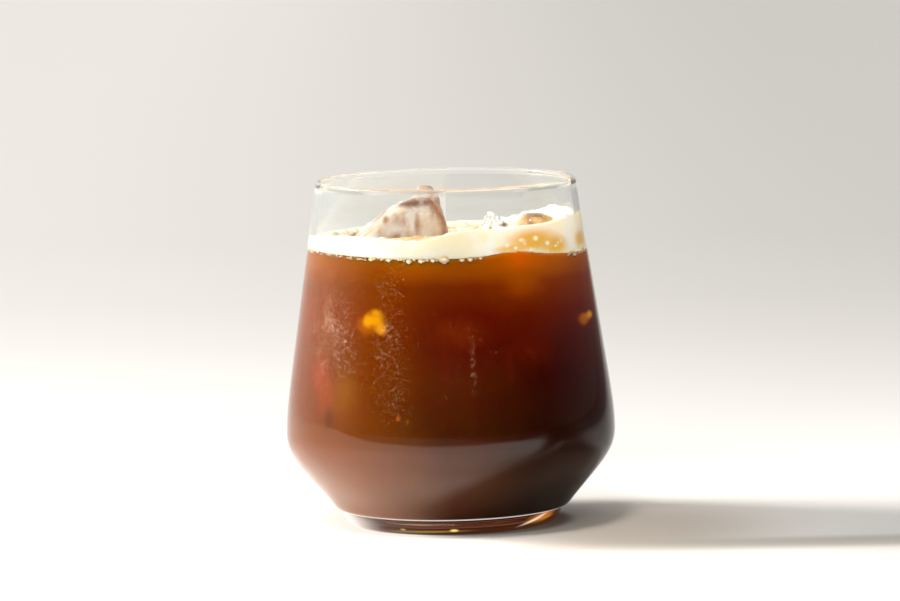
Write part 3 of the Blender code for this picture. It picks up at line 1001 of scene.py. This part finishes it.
# Bearing, height above the drink's edge and radius of the bubbles that stand out, in degrees and millimetres
LARGE_BUBBLES = (
    (-1.3, -0.1, 1.45),
    (-33.4, -0.1, 0.80),
    (-24.9, -0.2, 0.70),
    (-20.5, 0.1, 0.55),
    (-16.0, -0.4, 0.90),
    (-10.9, -0.3, 0.85),
    (-8.3, 0.0, 0.50),
    (-5.9, -0.1, 0.80),
    (6.1, -0.2, 0.75),
    (9.5, -0.2, 0.80),
    (13.9, -0.1, 0.60),
)
# Bearings from and to, heights above the drink's edge, least and largest radius, and count of the fine froth
FROTH = (
    (-66.0, -34.0, -0.4, 0.4, 0.15, 0.36, 90),
    (-34.0, -3.0, -0.2, 0.4, 0.20, 0.45, 45),
    (3.0, 16.0, -0.1, 0.3, 0.15, 0.32, 10),
    (36.0, 50.0, -0.2, 0.4, 0.12, 0.22, 20),
    (60.0, 180.0, -0.4, 0.5, 0.25, 0.95, 110),
    (-180.0, -68.0, -0.4, 0.5, 0.25, 0.95, 110),
)


# Limits of the faces that look away from the axis, of those that look up, and of those that catch light
MIDDLE_FACES = (0.960, 0.995)
UPPER_FACES = (-0.20, 0.06)
LIT_FACES = (-0.05, 0.14)


def make_bubble_material():
    made, tree, shader, place = new_material(
        "bubble_film", Roughness=0.15, Subsurface_Weight=0.3, Subsurface_Scale=0.5 * MM
    )
    normal = put(tree, "ShaderNodeNewGeometry").outputs["Normal"]
    flat = vectors(tree, "NORMALIZE", vectors(tree, "MULTIPLY", place, (1.0, 1.0, 0.0)))
    middle = smooth_range(tree, vectors(tree, "DOT_PRODUCT", normal, flat), *MIDDLE_FACES)
    upward = parts_of(tree, normal)["Z"]
    upper, lit = (smooth_range(tree, upward, *limits) for limits in (UPPER_FACES, LIT_FACES))
    cream = add_group(tree, MOTTLE, Vector=place, Scale=300.0, Low=0.4, High=0.6)
    heart = blend_colours(tree, cream, (0.66, 0.38, 0.17), (0.84, 0.62, 0.38))
    # Painted highlight: the heart turns pale cream on faces that look up
    heart = blend_colours(tree, lit, heart, (0.97, 0.92, 0.80))
    # Painted shade: the edge turns near black on faces that look down
    edge = blend_colours(tree, upper, (0.055, 0.013, 0.003), (0.76, 0.54, 0.28))
    tree.links.new(blend_colours(tree, middle, edge, heart), shader.inputs["Base Color"])
    return made


draws = np.random.default_rng(BUBBLE_SEED)
bubble_places = [
    (bearing, edge_height(bearing) + above * MM, radius * MM) for bearing, above, radius in LARGE_BUBBLES
]
for start, end, low, high, smallest, largest, count in FROTH:
    for _ in range(count):
        bearing = float(draws.uniform(start, end))
        above = float(draws.uniform(low, high))
        size = smallest + (largest - smallest) * float(draws.random()) ** 2
        bubble_places.append((bearing, edge_height(bearing) + above * MM, size * MM))
bubbles = grown(
    "bubbles",
    places_mesh(bubble_places, inner_radius),
    BEADS,
    {"Flatness": 0.12, "Least thickness": 0.2 * MM, "Subdivisions": 2, "Material": make_bubble_material()},
)
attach(bubbles, BODY)

# %% The bubbles' dark lower rims of painted shade
# How large a rim is and how far it sinks, in radii of its bubble
RIM_SHADE_GROWTH = 1.04
RIM_SHADE_DROP = 0.26


# Painted shade: dark brown beads behind the large bubbles, so that a dark edge shows below each one
def make_rim_shade_material():
    made, tree, shader, place = new_material("bubble_rim_shade", Roughness=0.4)
    shades = add_group(tree, MOTTLE, Vector=place, Scale=400.0, Low=0.3, High=0.7)
    tint = blend_colours(tree, shades, (0.050, 0.012, 0.002), (0.110, 0.035, 0.006))
    tree.links.new(tint, shader.inputs["Base Color"])
    return made


rim_shade_places = [
    (bearing, edge_height(bearing) + (above - RIM_SHADE_DROP * radius) * MM, RIM_SHADE_GROWTH * radius * MM)
    for bearing, above, radius in LARGE_BUBBLES
]
bubble_shade_rims = grown(
    "bubble_shade_rims",
    places_mesh(rim_shade_places, inner_radius),
    BEADS,
    {"Flatness": 0.04, "Least thickness": 0.17 * MM, "Subdivisions": 3, "Material": make_rim_shade_material()},
)
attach(bubble_shade_rims, BODY)

# %% Mist and the drop's track
MIST_SEED = 23
# Bearings from and to, heights from and to, degrees sideways for each millimetre down, least and largest
# radius, and count
MIST = (
    (-76.0, -34.0, 34.0, 74.0, 0.15, 0.06, 0.12, 2200),
    (-66.0, -40.0, 42.0, 66.0, 0.20, 0.07, 0.16, 1300),
    (-33.0, -17.0, 26.0, 78.0, 0.10, 0.06, 0.13, 1200),
    (7.2, 10.0, 36.0, 59.0, 0.00, 0.07, 0.16, 90),
    (-70.0, 95.0, 26.0, 76.0, 0.00, 0.05, 0.10, 700),
    (95.0, 290.0, 26.0, 76.0, 0.05, 0.06, 0.15, 2400),
)


def make_mist_material():
    made, tree, shader, place = new_material("mist", Roughness=0.5, Specular_IOR_Level=0.2)
    cloudy = add_group(tree, MOTTLE, Vector=place, Scale=200.0, Low=0.4, High=0.6)
    tint = blend_colours(tree, cloudy, (0.84, 0.48, 0.24), (0.93, 0.68, 0.48))
    tree.links.new(tint, shader.inputs["Base Color"])
    tree.links.new(maths(tree, "MULTIPLY_ADD", cloudy, 0.16, 0.16), shader.inputs["Alpha"])
    return made


draws = np.random.default_rng(MIST_SEED)
mist_places = []
for start, end, low, high, lean, smallest, largest, count in MIST:
    for _ in range(count):
        height = float(draws.triangular(low, 0.5 * (low + high), high))
        bearing = float(draws.triangular(start, 0.5 * (start + end), end)) + lean * (high - height)
        size = smallest + (largest - smallest) * float(draws.random()) ** 3
        mist_places.append((bearing, height * MM, size * MM))
mist = grown(
    "mist",
    places_mesh(mist_places, outer_radius),
    BEADS,
    {"Flatness": 0.3, "Least thickness": 0.0, "Subdivisions": 1, "Material": make_mist_material()},
)
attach(mist, BODY)

# %% [markdown]
# ## Floor, light and camera
#
# Low sun comes from the left and slightly behind, and the pale floor is painted brightest near the glass,
# falling off to pale grey behind it. A sun lamp gives the long shadow, a white world fills it, and a dark
# side of the world behind the camera keeps the front of the glass clear of reflections. What a curved glass
# of drink mirrors and focuses on a floor takes far too many rays to trace, so the floor has painted shadow
# and shade for it, and it is painted darker for mirrored rays behind a slanted line, a painted reflection
# which the lower glass shows as a dark side.

# %% Floor
FLOOR_HALF = 6.0
FLOOR_DROP = 0.05 * MM
# How the floor's painted light falls off behind the glass: where it starts, how far it goes, and stops of
# brightness
FALL_START, FALL_LENGTH = 0.06, 0.74
FALL_STOPS = (
    (0.0, 0.86),
    (0.09, 0.79),
    (0.205, 0.73),
    (0.345, 0.66),
    (0.5, 0.595),
    (0.675, 0.55),
    (1.0, 0.52),
)
FLOOR_HUE = (1.0, 0.995, 0.98)
# Painted light and shade, as limits in metres and brightness at either end: to the right behind the glass,
# to the front and to the right
FAR_BEGINS = (0.05, 0.30)
FAR_TO_RIGHT = (-0.22, 0.22, 1.22, 0.90)
TO_FRONT = (-0.42, -0.20, 0.15, 1.0)
TO_RIGHT = (0.20, 0.45, 1.0, 0.30)
RIGHT_SLANT = -0.09
# Centre, radii, softness, strength and colour of the painted warm shade inside the shadow, far and near, of
# the painted shadow along its front edge, and of the painted shade under the foot
FLOOR_SHADES = (
    ((0.105, -0.020, 0.0), (0.155, 0.082, 1.0), 0.45, 0.20, (0.60, 0.52, 0.43)),
    ((0.048, -0.020, 0.0), (0.055, 0.072, 1.0), 0.80, 0.60, (0.42, 0.33, 0.25)),
    ((0.120, -0.052, 0.0), (0.150, 0.0145, 1.0), 0.80, 0.80, (0.45, 0.42, 0.38)),
    ((0.005, 0.000, 0.0), (0.0295, 0.0295, 1.0), 0.16, 0.76, (0.19, 0.115, 0.070)),
)
# The slanted line behind which the floor is painted dark for mirrored rays, a painted reflection, and the
# limits of its edge, of the sector in front, of the sector at the back and of the change between them, all
# as shares of the distance to the axis
NEAREST_AXIS = 1.0 * MM
DARK_SLOPE = 0.341
DARK_OFFSET = 38.5 * MM
DARK_EDGE = (-0.10, 0.09, 0.0, 0.94)
DARK_IN_FRONT = (-0.75, 0.05)
DARK_AT_BACK = (0.20, 0.90, 0.0, 0.62)
BACK_BEGINS = (-0.10, 0.30)


def mirrored_dark(tree, across):
    """How dark the floor is painted for mirrored rays, from a place's X, Y and Z."""
    from_axis = maths(tree, "MAXIMUM", axis_distance(tree, across), NEAREST_AXIS)
    rightward, backward = (maths(tree, "DIVIDE", across[name], from_axis) for name in "XY")
    slanted = maths(tree, "MULTIPLY_ADD", across["X"], DARK_SLOPE, across["Y"])
    slanted = maths(tree, "DIVIDE", maths(tree, "ADD", slanted, DARK_OFFSET), from_axis)
    in_front = smooth_range(tree, rightward, *DARK_IN_FRONT)
    at_back = smooth_range(tree, rightward, *DARK_AT_BACK)
    sector = blend_values(tree, smooth_range(tree, backward, *BACK_BEGINS), in_front, at_back)
    return maths(tree, "MULTIPLY", smooth_range(tree, slanted, *DARK_EDGE), sector)


def make_floor_material():
    made, tree, shader, place = new_material("pale_floor", Roughness=1.0, Specular_IOR_Level=0.0)
    across = parts_of(tree, place)
    path = put(tree, "ShaderNodeLightPath").outputs
    depth = maths(tree, "DIVIDE", maths(tree, "SUBTRACT", across["Y"], FALL_START), FALL_LENGTH)
    stops = [(at, [value * share for share in FLOOR_HUE]) for at, value in FALL_STOPS]
    tone = colour_ramp(tree, depth, stops)
    side = smooth_range(tree, across["X"], *FAR_TO_RIGHT)
    shade = blend_values(tree, smooth_range(tree, across["Y"], *FAR_BEGINS), 1.0, side)
    sideways = maths(tree, "MULTIPLY_ADD", across["Y"], RIGHT_SLANT, across["X"])
    right, front = smooth_range(tree, sideways, *TO_RIGHT), smooth_range(tree, across["Y"], *TO_FRONT)
    clear_view = path["Is Transmission Ray"]
    around = blend_values(tree, clear_view, maths(tree, "MULTIPLY", right, front), 1.0)
    shade = maths(tree, "MULTIPLY", shade, around)
    mirrored = maths(tree, "MULTIPLY", path["Is Glossy Ray"], maths(tree, "SUBTRACT", 1.0, clear_view))
    mirrored = maths(tree, "MULTIPLY", mirrored, mirrored_dark(tree, across))
    shade = maths(tree, "MULTIPLY", shade, maths(tree, "SUBTRACT", 1.0, mirrored))
    tone = vectors(tree, "MULTIPLY", tone, shade)
    # Painted shadow and shade on the floor
    for centre, radii, softness, strength, tint in FLOOR_SHADES:
        mask = add_group(tree, SPOT, Vector=place, Centre=centre, Radii=radii, Softness=softness, Wobble=0.0)
        tone = blend_colours(tree, maths(tree, "MULTIPLY", mask, strength), tone, tint)
    tree.links.new(tone, shader.inputs["Base Color"])
    return made


floor_shape = bmesh.new()
bmesh.ops.create_grid(floor_shape, x_segments=1, y_segments=1, size=FLOOR_HALF)
bmesh.ops.translate(floor_shape, verts=floor_shape.verts, vec=(0, 0, -FLOOR_DROP))
floor = finished("floor", floor_shape, make_floor_material())
print(f"floor: {2 * FLOOR_HALF:.0f} m wide, {len(FLOOR_SHADES)} shades")

# %% Lamps
# The sun's bearing from +X towards +Y and its height over the floor, in degrees
SUN_FROM = (167.6, 29.0)
WARM_WHITE = (1.0, 0.95, 0.88)


def new_lamp(name, kind, place, target, **values):
    """A lamp at a place, turned towards a target, with its values set."""
    lamp = bpy.data.lights.new(name, kind)
    for label, value in values.items():
        setattr(lamp, label, value)
    made = bpy.data.objects.new(name, lamp)
    bpy.context.scene.collection.objects.link(made)
    made.location = place
    made.rotation_euler = (Vector(place) - Vector(target)).to_track_quat("Z", "Y").to_euler()
    return made


azimuth, elevation = (math.radians(value) for value in SUN_FROM)
sun_place = (
    math.cos(elevation) * math.cos(azimuth),
    math.cos(elevation) * math.sin(azimuth),
    math.sin(elevation),
)
new_lamp("sun", "SUN", sun_place, (0.0, 0.0, 0.0), energy=4.6, angle=math.radians(18.0), color=WARM_WHITE)
fill = new_lamp("fill", "AREA", (-0.35, -1.3, 0.75), (0.0, 0.0, 0.05), energy=6.0, size=0.8)
fill.visible_glossy = False

# A spot lamp lights the floor most at the front left, where the lower glass mirrors it
pool = new_lamp(
    "pool",
    "SPOT",
    (-0.12, -0.22, 0.5),
    (-0.062, -0.045, 0.0),
    energy=22.0,
    color=WARM_WHITE,
    spot_size=math.radians(23.0),
    spot_blend=1.0,
    shadow_soft_size=0.1,
)
pool.visible_glossy = False
floor_only = bpy.data.collections.new("floor only")
floor_only.objects.link(floor)
pool.light_linking.receiver_collection = floor_only
print(f"lamps: sun {SUN_FROM[1]:.0f} degrees up, fill and pool")

# %% World
# Limits along X, Y or Z, and brightness at either end
AMBIENT = (-0.8, 0.8, 0.90, 0.34)
THROUGH_GLASS = (-0.6, 0.8, 0.90, 0.60)
BEHIND = (-0.60, 0.45, 0.02, 0.80)
BEHIND_TO_RIGHT = (0.0, 0.7, 1.0, 0.15)
CEILING = (0.50, 0.80, 0.0, 0.8)
# Which way the bright window lies that the glass mirrors, how near a ray comes to it, and its brightness
WINDOW_TOWARDS = (-0.760, 0.354, 0.545)
WINDOW = (0.90, 0.96, 0.0, 3.0)
world = bpy.data.worlds.new("soft studio")
bpy.context.scene.world = world
world.use_nodes = True
sky = world.node_tree
direction = put(sky, "ShaderNodeTexCoord").outputs["Generated"]
towards = parts_of(sky, direction)
path = put(sky, "ShaderNodeLightPath").outputs
behind = smooth_range(sky, towards["Y"], *BEHIND)
reflected = maths(sky, "MULTIPLY", behind, smooth_range(sky, towards["X"], *BEHIND_TO_RIGHT))
reflected = maths(sky, "MAXIMUM", reflected, smooth_range(sky, towards["Z"], *CEILING))
near_window = vectors(sky, "DOT_PRODUCT", direction, WINDOW_TOWARDS)
reflected = maths(sky, "MAXIMUM", reflected, smooth_range(sky, near_window, *WINDOW))
strength = blend_values(sky, path["Is Glossy Ray"], smooth_range(sky, towards["X"], *AMBIENT), reflected)
through_glass = smooth_range(sky, towards["X"], *THROUGH_GLASS)
strength = blend_values(sky, path["Is Transmission Ray"], strength, through_glass)
background = sky.nodes["Background"]
sky.links.new(strength, background.inputs["Strength"])
background.inputs["Color"].default_value = (1.0, 0.985, 0.955, 1.0)
print(f"world: {len(sky.nodes)} nodes")

# %% Camera
CAMERA_PLACE = (0.0, -1.5, 0.2198)
CAMERA_DOWN, CAMERA_LEFT, CAMERA_ROLL = 6.096, -0.019, -1.265
camera_data = bpy.data.cameras.new("camera")
camera_data.lens = 225.0
camera_data.sensor_width = 36.0
camera = bpy.data.objects.new("camera", camera_data)
bpy.context.scene.collection.objects.link(camera)
turn = Matrix.Rotation(math.radians(CAMERA_LEFT), 4, "Z")
turn = turn @ Matrix.Rotation(math.radians(90.0 - CAMERA_DOWN), 4, "X")
turn = turn @ Matrix.Rotation(math.radians(CAMERA_ROLL), 4, "Z")
camera.matrix_world = Matrix.Translation(CAMERA_PLACE) @ turn
bpy.context.scene.camera = camera
print(f"camera: {camera_data.lens:.0f} mm lens, {CAMERA_DOWN:.1f} degrees down")
bpy.context.scene.view_settings.view_transform = "Standard"

# Light runs down inside the tumbler's wall from the rim in many small steps
light_paths = bpy.context.scene.cycles
light_paths.max_bounces = light_paths.transmission_bounces = 32
light_paths.glossy_bounces = 24
light_paths.transparent_max_bounces = 32
